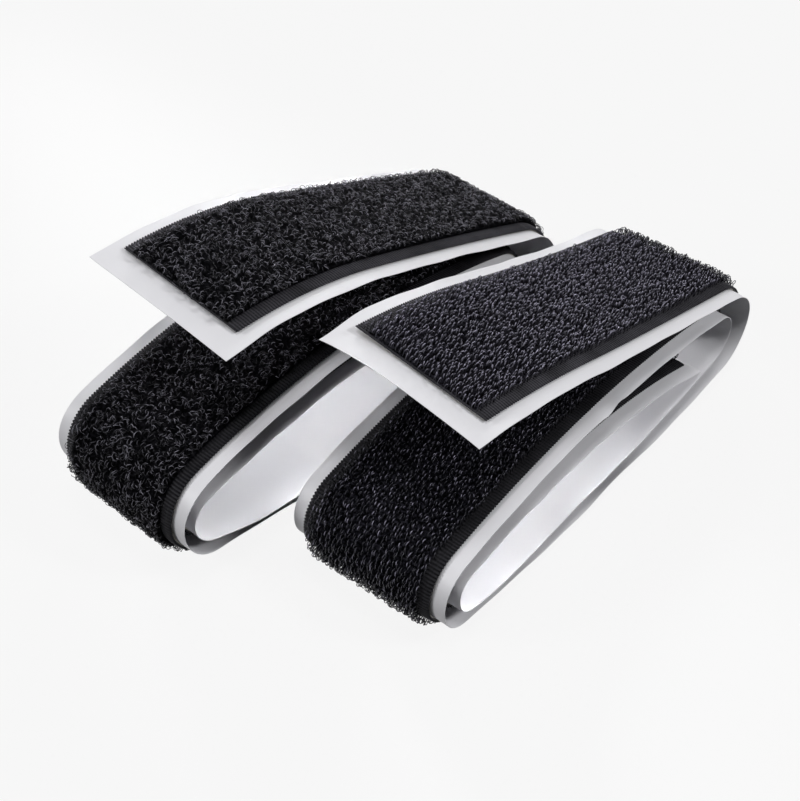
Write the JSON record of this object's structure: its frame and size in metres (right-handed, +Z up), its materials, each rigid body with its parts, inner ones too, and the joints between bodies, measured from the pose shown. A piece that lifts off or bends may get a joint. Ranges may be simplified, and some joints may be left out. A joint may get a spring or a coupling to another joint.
{
  "type": "hook and loop tape roll",
  "caption": "Pair of self-adhesive tape strips, one of loops and one of hooks, each wound loosely in an oval on its white release liner, with a lifted free end that flexes.",
  "frame": {"origin": "on the floor, under the middle of the pair's box", "axes": "+X across the strips from the loop strip to the hook strip, +Y along the ovals away from the free ends, +Z up"},
  "size_m": [0.0554, 0.0848, 0.0381],
  "materials": {
    "liner": "silicone-coated white release liner, satin",
    "adhesive": "clear pressure-sensitive adhesive film",
    "back_coat": "black resin back coat",
    "woven_tape": "black woven nylon, ribbed at the selvedges",
    "loop_pile": "black napped nylon loops",
    "hook_pile": "black nylon monofilament hooks"
  },
  "bodies": {
    "loop_roll": {"loop_release_liner": "liner", "loop_adhesive": "adhesive", "loop_back_coat": "back_coat", "loop_woven_tape": "woven_tape", "loop_pile": "loop_pile"},
    "loop_free_end": {"loop_release_liner_free_end": "liner", "loop_adhesive_free_end": "adhesive", "loop_back_coat_free_end": "back_coat", "loop_woven_tape_free_end": "woven_tape", "loop_pile_free_end": "loop_pile"},
    "hook_roll": {"hook_release_liner": "liner", "hook_adhesive": "adhesive", "hook_back_coat": "back_coat", "hook_woven_tape": "woven_tape", "hook_pile": "hook_pile"},
    "hook_free_end": {"hook_release_liner_free_end": "liner", "hook_adhesive_free_end": "adhesive", "hook_back_coat_free_end": "back_coat", "hook_woven_tape_free_end": "woven_tape", "hook_pile_free_end": "hook_pile"}
  },
  "joints": [
    {"name": "loop_end_flex", "type": "hinge", "parent": "loop_roll", "child": "loop_free_end", "pos_m": [-0.011, 0.02742, 0.02074], "axis": [-0.9978, 0.0663, 0], "range_deg": [-9, 60], "stiffness_Nm_per_rad": 0.04},
    {"name": "hook_strip_lift", "type": "slide", "parent": "loop_roll", "child": "hook_roll", "axis": [0, 0, 1], "range_m": [0, 0.05]},
    {"name": "hook_end_flex", "type": "hinge", "parent": "hook_roll", "child": "hook_free_end", "pos_m": [0.01566, 0.03669, 0.01726], "axis": [-0.9999, 0.0113, 0], "range_deg": [-8, 60], "stiffness_Nm_per_rad": 0.04}
  ]
}
